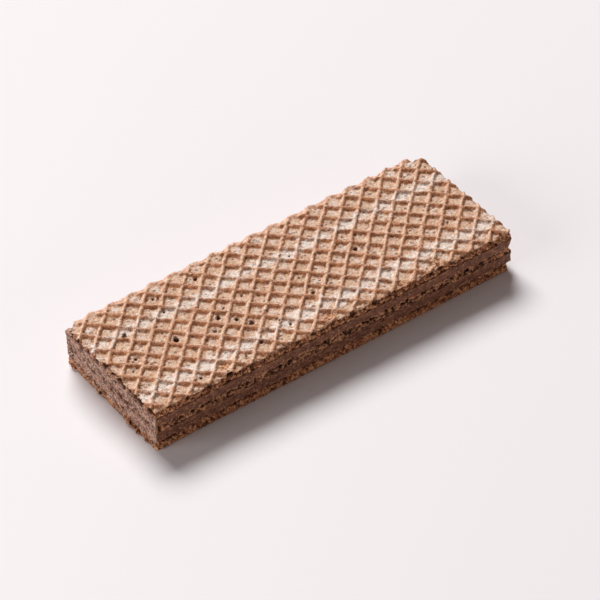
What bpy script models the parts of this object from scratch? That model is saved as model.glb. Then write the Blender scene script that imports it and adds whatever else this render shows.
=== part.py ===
# Protein wafer: three baked wafer sheets with two layers of cocoa cream between them.
# Units are metres, +Z is up and +X runs along the bar.
# The origin is at the middle of the underside.

import math
import random

import bmesh
import bpy
from mathutils import Matrix, Vector, noise

MM = 0.001

# Bar
BAR_LENGTH = 89.8 * MM
BAR_WIDTH = 32.3 * MM
SHEET_BOTTOM_TOP = 2.2 * MM      # height where the bottom sheet ends
CREAM_LOWER_TOP = 4.4 * MM
SHEET_MIDDLE_TOP = 6.2 * MM
CREAM_UPPER_TOP = 8.2 * MM
BAR_HEIGHT = 10.2 * MM           # ridge crests of the top sheet
LAYER_GAP = 0.3 * MM

# Lattice pressed into both outer faces, its ridges at 45 degrees to the bar
RIDGE_PITCH = 5.0 / math.sqrt(2) * MM
RIDGE_CREST = 0.44 * MM
RIDGE_FOOT = 1.36 * MM
RIDGE_RELIEF = 0.62 * MM
CROSSING_TOP = (-1.26 * MM, -0.60 * MM)      # one ridge crossing of the top sheet
CROSSING_UNDERSIDE = (0.0, 0.0)

# Plan outline
NEAR_CORNER_RADIUS = 1.0 * MM    # right near corner
CORNER_RADIUS = 0.5 * MM
CHIP_RIGHT = (3.2 * MM, 1.7 * MM)            # step broken out of the top sheet, along X and Y
CHIP_RIGHT_END = (0.6 * MM, 2.7 * MM)
CHIP_LEFT = (2.3 * MM, 2.8 * MM)             # slanting break at the left far corner
EDGE_BITES = ((-26.2 * MM, 2.6 * MM, 0.5 * MM),      # centre, width and depth along the near edge
              (-0.6 * MM, 2.2 * MM, 0.4 * MM),
              (26.4 * MM, 3.0 * MM, 0.5 * MM))
OUTLINE_STEP = 2.4 * MM
RIM_STEP = 1.0 * MM              # closest that rim vertices lie below a lattice face
CUT_SNAP = 0.0001 * MM

# Profile of the right end, as insets from the box; the left end is cut straight
NOTCH_DEPTH = 1.1 * MM           # where the upper cream meets the middle sheet
NOTCH_STEEPNESS = 2.2
SHEET_SET_BACK = 0.9 * MM        # of the bottom sheet
END_SHARPNESS = 40               # power that keeps an end's inset near that end
TOP_FALL_LENGTH = 1.0 * MM       # where the top sheet bends down
TOP_FALL = 0.35 * MM

# Crumbly sides
SIDE_ROUGHNESS = 0.2 * MM
ROUGHNESS_SCALE = 1.7 * MM
PORE_MARGIN = 0.16 * MM
PORE_DEPTH = 0.45 * MM
PORE_SMALLEST = 0.56 * MM        # shortest edge of a side face that gets a hollow
PORE_SHARE = 0.22
SEED = 11

# Linear colour, roughness and metallic value
FINISHES = {
    "wafer_top": ((0.62, 0.36, 0.21), 0.85, 0.0),
    "cream_upper": ((0.15, 0.085, 0.060), 0.60, 0.0),
    "wafer_middle": ((0.30, 0.17, 0.095), 0.90, 0.0),
    "cream_lower": ((0.14, 0.080, 0.057), 0.60, 0.0),
    "wafer_bottom": ((0.45, 0.26, 0.15), 0.88, 0.0),
}


def clear_scene():
    for scene_object in list(bpy.data.objects):
        bpy.data.objects.remove(scene_object, do_unlink=True)


def make_material(name):
    colour, roughness, metallic = FINISHES[name]
    material = bpy.data.materials.new(name)
    material.use_nodes = True
    shader = material.node_tree.nodes["Principled BSDF"]
    shader.inputs["Base Color"].default_value = (*colour, 1.0)
    shader.inputs["Roughness"].default_value = roughness
    shader.inputs["Metallic"].default_value = metallic
    material.diffuse_color = (*colour, 1.0)
    return material


def add_object(bm, name, collection):
    mesh = bpy.data.meshes.new(name)
    bm.to_mesh(mesh)
    bm.free()
    mesh.materials.append(make_material(name))
    piece = bpy.data.objects.new(name, mesh)
    collection.objects.link(piece)
    return piece


def arc(centre, radius, start, steps=4):
    """Points of a quarter turn, anticlockwise from the start angle in degrees."""
    points = []
    for step in range(steps + 1):
        angle = math.radians(start + 90.0 * step / steps)
        points.append(Vector((centre[0] + radius * math.cos(angle), centre[1] + radius * math.sin(angle))))
    return points


def rounded_corner(sign_x, sign_y, radius):
    centre = (sign_x * (BAR_LENGTH / 2 - radius), sign_y * (BAR_WIDTH / 2 - radius))
    starts = {(-1, -1): 180.0, (1, -1): 270.0, (1, 1): 0.0, (-1, 1): 90.0}
    return arc(centre, radius, starts[(sign_x, sign_y)])


def near_edge_bites():
    points = []
    for centre, width, depth in EDGE_BITES:
        for share, bite in ((-0.5, 0.0), (-0.2, 0.9), (0.15, 1.0), (0.5, 0.0)):
            points.append(Vector((centre + share * width, -BAR_WIDTH / 2 + bite * depth)))
    return points


def plain_outline():
    return (rounded_corner(-1, -1, CORNER_RADIUS) + rounded_corner(1, -1, NEAR_CORNER_RADIUS)
            + rounded_corner(1, 1, CORNER_RADIUS) + rounded_corner(-1, 1, CORNER_RADIUS))


def broken_outline():
    """Outline of the top sheet: bitten near edge and both far corners broken away."""
    right = BAR_LENGTH / 2
    far = BAR_WIDTH / 2
    chip_right = [Vector((right, far - CHIP_RIGHT_END[1])),
                  Vector((right - CHIP_RIGHT_END[0], far - CHIP_RIGHT[1])),
                  Vector((right - 0.8 * CHIP_RIGHT[0], far - 0.9 * CHIP_RIGHT[1])),
                  Vector((right - CHIP_RIGHT[0], far))]
    chip_left = [Vector((-right + CHIP_LEFT[0], far)),
                 Vector((-right + 0.6 * CHIP_LEFT[0], far - 0.3 * CHIP_LEFT[1])),
                 Vector((-right, far - CHIP_LEFT[1]))]
    return (rounded_corner(-1, -1, CORNER_RADIUS) + near_edge_bites()
            + rounded_corner(1, -1, NEAR_CORNER_RADIUS) + chip_right + chip_left)


def divided(outline):
    """The same outline with points no further apart than the outline step."""
    points = []
    for start, end in zip(outline, outline[1:] + outline[:1]):
        pieces = max(1, round((end - start).length / OUTLINE_STEP))
        points += [start.lerp(end, piece / pieces) for piece in range(pieces)]
    return points


def inside(outline, x, y):
    hit = False
    for start, end in zip(outline, outline[1:] + outline[:1]):
        if (start.y > y) != (end.y > y):
            crossing = start.x + (y - start.y) * (end.x - start.x) / (end.y - start.y)
            hit = hit != (x < crossing)
    return hit


def right_end_inset(z):
    """How far the right end stands back from the box at this height."""
    if z < SHEET_BOTTOM_TOP:
        return SHEET_SET_BACK
    reach = (z - SHEET_BOTTOM_TOP) / (SHEET_MIDDLE_TOP - SHEET_BOTTOM_TOP)
    return NOTCH_DEPTH * max(0.0, 1.0 - NOTCH_STEEPNESS * abs(reach - 1.0))


def roughness(x, y, z):
    """Inward offset of a side at one place, from 0 to SIDE_ROUGHNESS."""
    sample = noise.noise(Vector((x, y, 2.0 * z)) / ROUGHNESS_SCALE)
    return SIDE_ROUGHNESS * min(1.0, max(0.0, 0.5 + sample))


def shape_side(vertex, x, y, z):
    """Put a side vertex at a height, drawn in by the end profile and the crumbly surface."""
    rough = roughness(x, y, z)
    left_share = max(0.0, -2 * x / BAR_LENGTH) ** END_SHARPNESS
    right_share = max(0.0, 2 * x / BAR_LENGTH) ** END_SHARPNESS
    vertex.co.x = x + rough * left_share - (right_end_inset(z) + rough) * right_share
    vertex.co.y = y * (1.0 - 2 * rough / BAR_WIDTH)
    vertex.co.z = z


def open_side_pores(bm, rng):
    """Press small hollows into some of the side faces."""
    sides = []
    for face in bm.faces:
        spans = [edge.calc_length() for edge in face.edges]
        if len(face.verts) == 4 and abs(face.normal.z) < 0.5 and min(spans) > PORE_SMALLEST:
            sides.append(face)
    sides.sort(key=lambda face: tuple(round(value / MM, 2) for value in face.calc_center_median()))
    chosen = [face for face in sides if rng.random() < PORE_SHARE]
    for face in chosen:
        bmesh.ops.inset_individual(bm, faces=[face], thickness=PORE_MARGIN, depth=-PORE_DEPTH,
                                   use_even_offset=True)


def open_edges(bm):
    return [edge for edge in bm.edges if edge.is_boundary]


def face_outwards(bm):
    bmesh.ops.recalc_face_normals(bm, faces=bm.faces[:])
    if bm.calc_volume(signed=True) < 0:
        bmesh.ops.reverse_faces(bm, faces=bm.faces[:])


def close_body(bm, plan, heights):
    """Carry the open rim through the heights and cap it. The plan gives each rim vertex's place."""
    for vertex, place in plan.items():
        shape_side(vertex, place.x, place.y, vertex.co.z)
    for height in heights:
        made = bmesh.ops.extrude_edge_only(bm, edges=open_edges(bm))["geom"]
        rim = [element for element in made if isinstance(element, bmesh.types.BMVert)]
        below = {}
        for vertex in rim:
            neighbours = [edge.other_vert(vertex) for edge in vertex.link_edges]
            below[vertex] = next(plan[other] for other in neighbours if other in plan)
            shape_side(vertex, below[vertex].x, below[vertex].y, height)
        bmesh.ops.remove_doubles(bm, verts=rim, dist=RIM_STEP)
        plan = {vertex: place for vertex, place in below.items() if vertex.is_valid}
    bmesh.ops.contextual_create(bm, geom=open_edges(bm))
    face_outwards(bm)


def filled_layer(name, heights, collection, pores=False):
    """A layer seen only at its sides: the outline lifted through a row of heights."""
    bm = bmesh.new()
    rim = [bm.verts.new((point.x, point.y, heights[0])) for point in divided(plain_outline())]
    bmesh.ops.contextual_create(bm, geom=rim)
    close_body(bm, {vertex: vertex.co.xy.copy() for vertex in rim}, heights[1:])
    if pores:
        open_side_pores(bm, random.Random(SEED))
    return add_object(bm, name, collection)


def lattice_face(outline, crossing):
    """Open lattice with its crests at height 0, trimmed to the outline."""
    bm = bmesh.new()
    cells = 2 * math.ceil(math.hypot(BAR_LENGTH, BAR_WIDTH) / (2 * RIDGE_PITCH))
    bmesh.ops.create_grid(bm, x_segments=cells, y_segments=cells, size=cells * RIDGE_PITCH / 2)
    turn = Matrix.Rotation(math.radians(45), 3, "Z")
    bmesh.ops.rotate(bm, verts=bm.verts[:], cent=(0, 0, 0), matrix=turn)
    bmesh.ops.translate(bm, verts=bm.verts[:], vec=(crossing[0], crossing[1], 0.0))
    reach = Vector((BAR_LENGTH / 2 + RIDGE_PITCH, BAR_WIDTH / 2 + RIDGE_PITCH))
    spare = [face for face in bm.faces
             if abs(face.calc_center_median().x) > reach.x or abs(face.calc_center_median().y) > reach.y]
    bmesh.ops.delete(bm, geom=spare, context="FACES")
    floors = bm.faces[:]
    bmesh.ops.inset_individual(bm, faces=floors, thickness=RIDGE_CREST / 2, use_even_offset=True)
    bmesh.ops.inset_individual(bm, faces=floors, thickness=(RIDGE_FOOT - RIDGE_CREST) / 2,
                               depth=-RIDGE_RELIEF, use_even_offset=True)
    for start, end in zip(outline, outline[1:] + outline[:1]):
        cut_along(bm, start, end)
    outer = [face for face in bm.faces
             if not inside(outline, face.calc_center_median().x, face.calc_center_median().y)]
    bmesh.ops.delete(bm, geom=outer, context="FACES")
    return bm


def cut_along(bm, start, end):
    """Cut the faces near one stretch of the outline along it."""
    along = (end - start).normalized()
    length = (end - start).length
    parts = []
    for face in bm.faces:
        shares = [(vertex.co.xy - start).dot(along) for vertex in face.verts]
        offsets = [(vertex.co.xy - start).cross(along) for vertex in face.verts]
        if max(shares) > 0 and min(shares) < length and max(offsets) > 0 and min(offsets) < 0:
            parts += [face, *face.edges, *face.verts]
    bmesh.ops.bisect_plane(bm, geom=list(dict.fromkeys(parts)), dist=CUT_SNAP,
                           plane_co=(start.x, start.y, 0.0), plane_no=(along.y, -along.x, 0.0))


def lattice_sheet(name, outline, crossing, crest, heights, collection):
    """An outer wafer sheet: the lattice face, sides carried through the heights and a flat back."""
    bm = lattice_face(outline, crossing)
    faces_up = crest > heights[-1]
    for vertex in bm.verts:
        if faces_up:
            over = max(0.0, vertex.co.x - (BAR_LENGTH / 2 - TOP_FALL_LENGTH)) / TOP_FALL_LENGTH
            vertex.co.z += crest - TOP_FALL * over * over
        else:
            vertex.co.z = crest - vertex.co.z
    plan = {vertex: vertex.co.xy.copy() for edge in open_edges(bm) for vertex in edge.verts}
    close_body(bm, plan, heights)
    open_side_pores(bm, random.Random(SEED))
    return add_object(bm, name, collection)


def build():
    clear_scene()
    collection = bpy.data.collections.new("protein_wafer")
    bpy.context.scene.collection.children.link(collection)
    half_gap = LAYER_GAP / 2

    lattice_sheet("wafer_bottom", plain_outline(), CROSSING_UNDERSIDE, 0.0,
                  (SHEET_BOTTOM_TOP / 2, SHEET_BOTTOM_TOP - half_gap), collection)
    filled_layer("cream_lower",
                 (SHEET_BOTTOM_TOP + half_gap, CREAM_LOWER_TOP - half_gap), collection)
    middle = (CREAM_LOWER_TOP + SHEET_MIDDLE_TOP) / 2
    filled_layer("wafer_middle",
                 (CREAM_LOWER_TOP + half_gap, middle, SHEET_MIDDLE_TOP - half_gap), collection, pores=True)
    filled_layer("cream_upper",
                 (SHEET_MIDDLE_TOP + half_gap, CREAM_UPPER_TOP - half_gap), collection)
    lattice_sheet("wafer_top", broken_outline(), CROSSING_TOP, BAR_HEIGHT,
                  ((BAR_HEIGHT + CREAM_UPPER_TOP) / 2, CREAM_UPPER_TOP + half_gap), collection)


build()
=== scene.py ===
import math
import random

import bmesh
import bpy
from mathutils import Matrix, Vector, noise


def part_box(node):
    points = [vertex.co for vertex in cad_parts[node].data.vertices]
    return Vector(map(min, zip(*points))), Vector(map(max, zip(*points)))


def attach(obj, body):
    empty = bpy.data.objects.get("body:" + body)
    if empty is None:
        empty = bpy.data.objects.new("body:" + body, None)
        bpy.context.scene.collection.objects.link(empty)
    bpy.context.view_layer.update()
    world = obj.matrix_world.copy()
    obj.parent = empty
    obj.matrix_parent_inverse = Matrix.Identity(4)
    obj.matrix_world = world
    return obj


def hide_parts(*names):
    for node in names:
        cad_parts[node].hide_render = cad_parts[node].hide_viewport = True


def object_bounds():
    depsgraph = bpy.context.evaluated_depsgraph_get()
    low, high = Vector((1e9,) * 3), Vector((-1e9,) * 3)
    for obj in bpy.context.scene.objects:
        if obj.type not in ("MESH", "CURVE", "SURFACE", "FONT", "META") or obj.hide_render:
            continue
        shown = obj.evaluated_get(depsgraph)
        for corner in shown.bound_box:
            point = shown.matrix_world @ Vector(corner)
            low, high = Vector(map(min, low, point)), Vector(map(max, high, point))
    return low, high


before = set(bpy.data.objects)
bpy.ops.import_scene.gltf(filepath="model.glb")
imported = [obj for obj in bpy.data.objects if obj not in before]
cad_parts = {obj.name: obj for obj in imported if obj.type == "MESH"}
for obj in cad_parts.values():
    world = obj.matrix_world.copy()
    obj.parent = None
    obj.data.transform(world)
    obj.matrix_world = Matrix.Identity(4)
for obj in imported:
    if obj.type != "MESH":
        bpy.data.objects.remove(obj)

# Shapes are worked out in millimetres and brought to metres when a piece is finished.
mmInMetre = 1000.0
cadLow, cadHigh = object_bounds()
halfLength = cadHigh.x * mmInMetre
halfWidth = cadHigh.y * mmInMetre
barTop = cadHigh.z * mmInMetre

layerNames = ["wafer_bottom", "cream_lower", "wafer_middle", "cream_upper", "wafer_top"]


def seamBetween(lower, upper):
    # height where two layers meet, in the middle of the gap that the frame leaves
    return (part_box(lower)[1].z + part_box(upper)[0].z) / 2 * mmInMetre


seams = [seamBetween(lower, upper) for lower, upper in zip(layerNames, layerNames[1:])]
sheetBottomTop, creamLowerTop, sheetMiddleTop, creamUpperTop = seams

lattice = {
    "cellDiagonal": 5.0,
    "footWidth": 1.36,
    "relief": 0.62,
    "roundness": 0.8,       # 1 for a plain arch, 0 for a ridge with soft feet
    "wander": 0.25,         # how far a ridge strays from its straight line
    "wanderLength": 4.0,
    "chatter": 0.15,        # the same at the scale of crumbs
    "chatterLength": 0.8,
    "widthChange": 0.25,
    "heightChange": 0.3,
    "gaps": 0.5,            # depth of the broken places in a ridge
    # for each set of ridges: how toasted its far side is, where the painted shade on its near
    # side starts, and its width as a share of footWidth
    "ridgeSets": ((0.55, -0.8, 1.0), (0.0, -0.2, 0.84)),
}

# outline of the sheets; waves are lists of height, length and seed
outline = {
    "cornerRadius": 0.5,
    "nearRightRadius": 1.0,
    # distance from the right end and depth from the far side
    "chipRight": [(3.2, 0.0), (2.56, 1.53), (0.6, 1.7), (0.0, 2.7)],
    # distance from the far side and depth from the left end
    "chipLeft": [(2.8, 0.0), (0.84, 1.38), (0.0, 2.3)],
    # centre, width and depth on the near side
    "bites": [(-26.2, 2.6, 0.5), (-0.6, 2.2, 0.4), (26.4, 3.0, 0.5)],
    "biteBelow": 0.6,       # share of a bite that goes right through the sheet
    # how far the top crust stands back at the left end, from the near side to the far side
    "leftEdge": [(-16.0, 0.6), (-10.0, 0.47), (-5.6, 0.33), (-2.8, 0.75), (1.3, 0.65),
                 (3.5, 0.08), (13.4, 0.15)],
    "scallopPitch": 5.0,
    "scallopPeak": 1.2,
    "scallopDepth": 0.36,
    "scallopLift": 0.16,    # how far its furthest places stand out
    "farWaves": [(0.22, 1.0, 2.5), (0.14, 0.45, 4.5)],
    "farFoot": 0.1,         # inset of the far side and of the near side below the worn rim
    "nearFoot": 0.03,
    "nearWear": 0.42,       # how far the top rim is worn back there and at the right end
    "nearWaves": [(0.3, 1.3, 2.5), (0.18, 0.5, 4.5)],
    "rightWear": 0.10,
    "rightWaves": [(0.2, 1.0, 2.5), (0.12, 0.4, 4.5)],
    "warpReach": 8.0,       # how far in from an edge the face follows its outline
}

# the layers meet along wavy lines
seamWaves = [(0.32, 2.8, 2.2), (0.3, 0.9, 4.1), (0.14, 0.4, 1.7)]

ends = {
    "notchDepth": 1.1,      # between the creams at the right end
    "notchHalfHeight": 1.82,
    "notchRoundness": 1.4,
    "notchRoundnessAbove": 2.6,
    "bottomSetBack": 1.2,
    "sharpness": 40,        # power that keeps an end's inset near that end
    "topFallLength": 1.0,
    "topFall": 0.35,
}


def ease(low, high, value):
    share = min(1.0, max(0.0, (value - low) / (high - low)))
    return share * share * (3 - 2 * share)


def rough(x, y, z, size, seed=0.0):
    # smooth noise from about -1 to 1, its features about this many millimetres across
    return noise.noise(Vector((x / size + seed, y / size - seed, z / size + 2 * seed)))


def addWaves(start, x, y, z, waves):
    for height, length, seed in waves:
        start += height * rough(x, y, z, length, seed)
    return start


def pore(x, y, z, spacing, radius, seed):
    # how deep a point lies in the nearest hole: 0 outside, 1 in the middle of a large one
    place = Vector((x / spacing + seed, y / spacing - seed, z / spacing))
    distances, centres = noise.voronoi(place)
    chance = abs(noise.cell(centres[0] * 13.7))
    reach = radius / spacing * chance
    if distances[0] >= reach:
        return 0.0
    return math.sqrt(1 - (distances[0] / reach) ** 2) * min(1.0, 0.4 + chance)


def stepped(points, value):
    # straight lines between (value, result) pairs, flat past the ends
    points = sorted(points)
    if value <= points[0][0]:
        return points[0][1]
    for (start, low), (end, high) in zip(points, points[1:]):
        if value <= end:
            return low + (high - low) * (value - start) / (end - start)
    return points[-1][1]


def ridgeOffset(across):
    # signed distance from the nearest ridge
    pitch = lattice["cellDiagonal"] / math.sqrt(2)
    return ((across / pitch + 0.5) % 1.0 - 0.5) * pitch


def ridgeProfile(distance, halfFoot):
    # height across a ridge, 1 on its crest
    if distance >= halfFoot:
        return 0.0
    arch = 1 - (distance / halfFoot) ** 2
    return lattice["roundness"] * arch + (1 - lattice["roundness"]) * ease(halfFoot, 0.0, distance)


def latticePlace(x, y, crossing, seed):
    # the point in the directions of the two sets of ridges, which wander a little
    across = (x - crossing[0] + y - crossing[1]) / math.sqrt(2)
    along = (x - crossing[0] - y + crossing[1]) / math.sqrt(2)
    across += lattice["wander"] * rough(x, y, 0, lattice["wanderLength"], 1.3 + seed)
    along += lattice["wander"] * rough(x, y, 0, lattice["wanderLength"], 7.9 + seed)
    across += lattice["chatter"] * rough(x, y, 0, lattice["chatterLength"], 2.7 + seed)
    along += lattice["chatter"] * rough(x, y, 0, lattice["chatterLength"], 6.1 + seed)
    return across, along


def latticeRelief(x, y, crossing, seed=0.0):
    # height above the cell floors, share of a ridge, and how brown the ridge is at the point:
    # real toasting, and painted shade down its near side, which faces away from the key light
    across, along = latticePlace(x, y, crossing, seed)
    share = toastShadeShare = 0.0
    offsets = ridgeOffset(across), -ridgeOffset(along)
    for offset, setSeed, (farBrown, start, width) in zip(offsets, (3.3, 5.2), lattice["ridgeSets"]):
        wider = 1 + lattice["widthChange"] * rough(x, y, 0, 1.5, setSeed + seed)
        halfFoot = lattice["footWidth"] / 2 * width * wider
        height = 1 + lattice["heightChange"] * (rough(x, y, 0, 2.0, setSeed - 2 + seed) - 0.2)
        height -= lattice["gaps"] * ease(0.3, 0.6, rough(x, y, 0, 1.2, setSeed + 6 + seed))
        part = height * ridgeProfile(abs(offset), halfFoot)
        if part > share:
            share = part
            # painted shade: the brown grows down the near side of the ridge, where shade falls
            toastShadeShare = farBrown + (1 - farBrown) * ease(start, 1.0, -offset / halfFoot)
    return share * lattice["relief"], min(1.0, share), toastShadeShare


def rightShare(x):
    return max(0.0, x / halfLength) ** ends["sharpness"]


def rightEndInset(z):
    # how far the right end stands back from the box at this height
    closeness = max(0.0, 1 - abs(z - sheetMiddleTop) / ends["notchHalfHeight"])
    roundness = ends["notchRoundnessAbove" if z > sheetMiddleTop else "notchRoundness"]
    return ends["notchDepth"] * closeness ** roundness


def seamHeight(level, x, y):
    return addWaves(level, x, y, level, seamWaves)


def boundaryRing(bm):
    # vertices of the one open rim, in order round it, seen from above anticlockwise
    edges = [edge for edge in bm.edges if edge.is_boundary]
    neighbours = {}
    for edge in edges:
        for vertex in edge.verts:
            neighbours.setdefault(vertex, []).append(edge.other_vert(vertex))
    start = min(neighbours, key=lambda vertex: (round(vertex.co.x, 3), round(vertex.co.y, 3)))
    ring = [start]
    previous, current = None, start
    while True:
        following = [other for other in neighbours[current] if other is not previous][0]
        if following is start:
            break
        ring.append(following)
        previous, current = current, following
    area = sum(a.co.x * b.co.y - b.co.x * a.co.y for a, b in zip(ring, ring[1:] + ring[:1]))
    return ring if area > 0 else [ring[0]] + ring[:0:-1]


def ringNormals(ring, reach=5):
    # outward direction in plan at each vertex of a ring
    count = len(ring)
    normals = []
    for index in range(count):
        along = ring[(index + reach) % count].co.xy - ring[index - reach].co.xy
        normals.append(Vector((along.y, -along.x)).normalized())
    return normals


def nextRing(bm, ring):
    # extrudes the open rim and gives the new vertices in the order of the old ones
    edges = [bm.edges.get((a, b)) for a, b in zip(ring, ring[1:] + ring[:1])]
    made = bmesh.ops.extrude_edge_only(bm, edges=edges)["geom"]
    fresh = {element for element in made if isinstance(element, bmesh.types.BMVert)}
    return [next(edge.other_vert(vertex) for edge in vertex.link_edges
                 if edge.other_vert(vertex) in fresh) for vertex in ring]


def capRing(bm, ring):
    edges = [bm.edges.get((a, b)) for a, b in zip(ring, ring[1:] + ring[:1])]
    bmesh.ops.contextual_create(bm, geom=ring + edges)


# what the materials read at each vertex; skin is the pale skin of the middle sheet, the crumbs
# along the far rim of the top sheet, or the lip of cream along the near left corner
# hollow marks pits and holes, where the materials paint shade
markNames = ("ridge", "toastAndShade", "flour", "hollow", "torn", "smear", "skin")


def newLayers(bm):
    return {name: bm.verts.layers.float.new(name) for name in markNames}


def mark(vertex, layers, **values):
    for name, layer in layers.items():
        vertex[layer] = values.get(name, 0.0)


def finishPiece(bm, name, material, nodes=()):
    bmesh.ops.recalc_face_normals(bm, faces=bm.faces[:])
    if bm.calc_volume(signed=True) < 0:
        bmesh.ops.reverse_faces(bm, faces=bm.faces[:])
    for face in bm.faces:
        face.smooth = len(face.verts) < 6       # the caps stay flat
    bmesh.ops.scale(bm, verts=bm.verts[:], vec=(1 / mmInMetre,) * 3)
    mesh = bpy.data.meshes.new(name)
    bm.to_mesh(mesh)
    bm.free()
    mesh.materials.append(material)
    piece = bpy.data.objects.new(name, mesh)
    bpy.context.scene.collection.objects.link(piece)
    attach(piece, "root")
    if nodes:
        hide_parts(*nodes)
    print(name, "has", sum(len(face.vertices) - 2 for face in mesh.polygons), "triangles")


def paint(red, green, blue):
    # a colour as it looks on a screen, 0 to 255, to the linear values of a shader
    def linear(value):
        value /= 255
        return value / 12.92 if value <= 0.04045 else ((value + 0.055) / 1.055) ** 2.4
    return (linear(red), linear(green), linear(blue), 1.0)


class Shade:
    # an output socket of a material that takes part in sums

    def __init__(self, graph, socket):
        self.graph = graph
        self.socket = socket

    def sum(self, operation, *values):
        return self.graph.node("ShaderNodeMath", {"operation": operation}, dict(enumerate(values)))

    def __add__(self, other):
        return self.sum("ADD", self, other)

    def __radd__(self, other):
        return self.sum("ADD", other, self)

    def __sub__(self, other):
        return self.sum("SUBTRACT", self, other)

    def __rsub__(self, other):
        return self.sum("SUBTRACT", other, self)

    def __mul__(self, other):
        return self.sum("MULTIPLY", self, other)

    def __rmul__(self, other):
        return self.sum("MULTIPLY", other, self)

    def largest(self, other):
        return self.sum("MAXIMUM", self, other)

    def ease(self, low, high):
        return self.graph.node("ShaderNodeMapRange", {"interpolation_type": "SMOOTHSTEP"},
                               {"Value": self, "From Min": low, "From Max": high})


class Finish:
    # a material under construction

    def __init__(self, name):
        self.material = bpy.data.materials.new(name)
        self.material.use_nodes = True
        self.tree = self.material.node_tree
        self.shader = self.tree.nodes["Principled BSDF"]
        coordinates = self.node("ShaderNodeTexCoord", output="Object")
        self.place = self.node("ShaderNodeVectorMath", {"operation": "SCALE"},
                               {0: coordinates, "Scale": mmInMetre}, "Vector")

    def node(self, kind, settings=None, values=None, output=0):
        made = self.tree.nodes.new(kind)
        for name, value in (settings or {}).items():
            setattr(made, name, value)
        for key, value in (values or {}).items():
            if isinstance(value, Shade):
                self.tree.links.new(value.socket, made.inputs[key])
            else:
                made.inputs[key].default_value = value
        return Shade(self, made.outputs[output])

    def attribute(self, name):
        return self.node("ShaderNodeAttribute", {"attribute_name": name}, output="Fac")

    def grain(self, size, detail=2.0, place=None, roughness=0.5):
        # noise whose features are about this many millimetres across
        return self.node("ShaderNodeTexNoise", None,
                         {"Vector": place or self.place, "Scale": 1 / size, "Detail": detail,
                          "Roughness": roughness})

    def dots(self, spacing, radius, softness, place=None):
        # 1 inside scattered dots of varied size and 0 outside
        cells = {"Vector": place or self.place, "Scale": 1 / spacing}
        distance = self.node("ShaderNodeTexVoronoi", None, cells, "Distance")
        chance = self.node("ShaderNodeSeparateColor", None,
                           {0: self.node("ShaderNodeTexVoronoi", None, cells, "Color")}, 0)
        reach = chance * (radius / spacing)
        return (reach - distance).ease(-softness, softness)

    def blend(self, share, first, second, kind="MIX"):
        return self.node("ShaderNodeMix", {"data_type": "RGBA", "blend_type": kind},
                         {0: share, 6: first, 7: second}, 2)

    def stretched(self, along, across, up, place=None):
        return self.node("ShaderNodeVectorMath", {"operation": "MULTIPLY"},
                         {0: place or self.place, 1: (along, across, up)}, "Vector")

    def close(self, colour, roughness, height, depth, specular):
        # depth is in millimetres for a height from 0 to 1
        bump = self.node("ShaderNodeBump", None,
                         {"Strength": 1.0, "Distance": depth / mmInMetre, "Height": height})
        for name, value in (("Base Color", colour), ("Roughness", roughness), ("Normal", bump)):
            self.tree.links.new(value.socket, self.shader.inputs[name])
        self.shader.inputs["Specular IOR Level"].default_value = specular
        return self.material


# dots are spacing, radius and softness
smearLook = {
    "dark": paint(120, 74, 57),
    "middle": paint(223, 175, 151),
    "pale": paint(248, 224, 208),
    # painted shade inside holes of the smeared cream
    "hole": paint(54, 30, 21),
    "slant": -0.42,         # radians that the streaks slope down towards the near side
    "streakSize": 0.6,
    "granuleSize": 0.4,
    "paleDots": (0.75, 0.4, 0.08),
    "holeDots": (0.8, 0.42, 0.08),
}


def smearedCream(make):
    # colour and height of cream dragged over the cut end, with painted shade in its holes
    look = smearLook
    turned = make.node("ShaderNodeVectorRotate", {"rotation_type": "X_AXIS"},
                       {"Vector": make.place, "Angle": look["slant"]})
    streaks = make.grain(look["streakSize"], 3.0, make.stretched(1.0, 0.5, 1.0, turned))
    granules = make.grain(look["granuleSize"], 5.0, roughness=0.75)
    tone = (streaks * 0.3 + granules * 0.7).ease(0.43, 0.54)
    colour = make.blend(tone, look["dark"], look["middle"])
    pale = make.dots(*look["paleDots"])
    holes = make.dots(*look["holeDots"], make.stretched(1.0, 0.8, 1.2))
    colour = make.blend(pale * 0.8, colour, look["pale"])
    # painted shade: holes are darkened
    colour = make.blend(holes * 0.75, colour, look["hole"])
    return colour, streaks * 0.5 + granules * 2.1 + pale * 0.6 - holes


crustLook = {
    "floor": paint(226, 191, 166),
    "floorWarm": paint(211, 169, 138),
    "ridge": paint(224, 182, 153),
    "toastAndShade": paint(177, 112, 70),       # toasted ridges, and painted shade on their near sides
    "flour": paint(244, 229, 217),
    "toasted": paint(180, 114, 76),
    # painted shade in the small pores of the crust
    "prick": paint(112, 66, 42),
    "torn": paint(162, 92, 59),
    "tornPale": paint(240, 168, 124),
    # painted shade inside pits and holes of the crust
    "pit": paint(98, 58, 36),
    "fringe": paint(244, 190, 160),     # fresh crumbs along the far rim
    "patchSize": 1.1,
    "mottleSize": 0.6,
    "grainSize": 0.3,
    "toastSize": 2.1,
    "toastShare": 0.4,
    "crestDots": (0.75, 0.36, 0.1),
    "flakeDots": (1.1, 0.45, 0.12),
    "poreDots": (1.15, 0.42, 0.08),
    "finePoreDots": (0.5, 0.2, 0.12),
    "contrast": (0.22, 0.81),           # dark and light end of the fine grain
    "bump": 0.25,
    "specular": 0.35,
}


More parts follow.
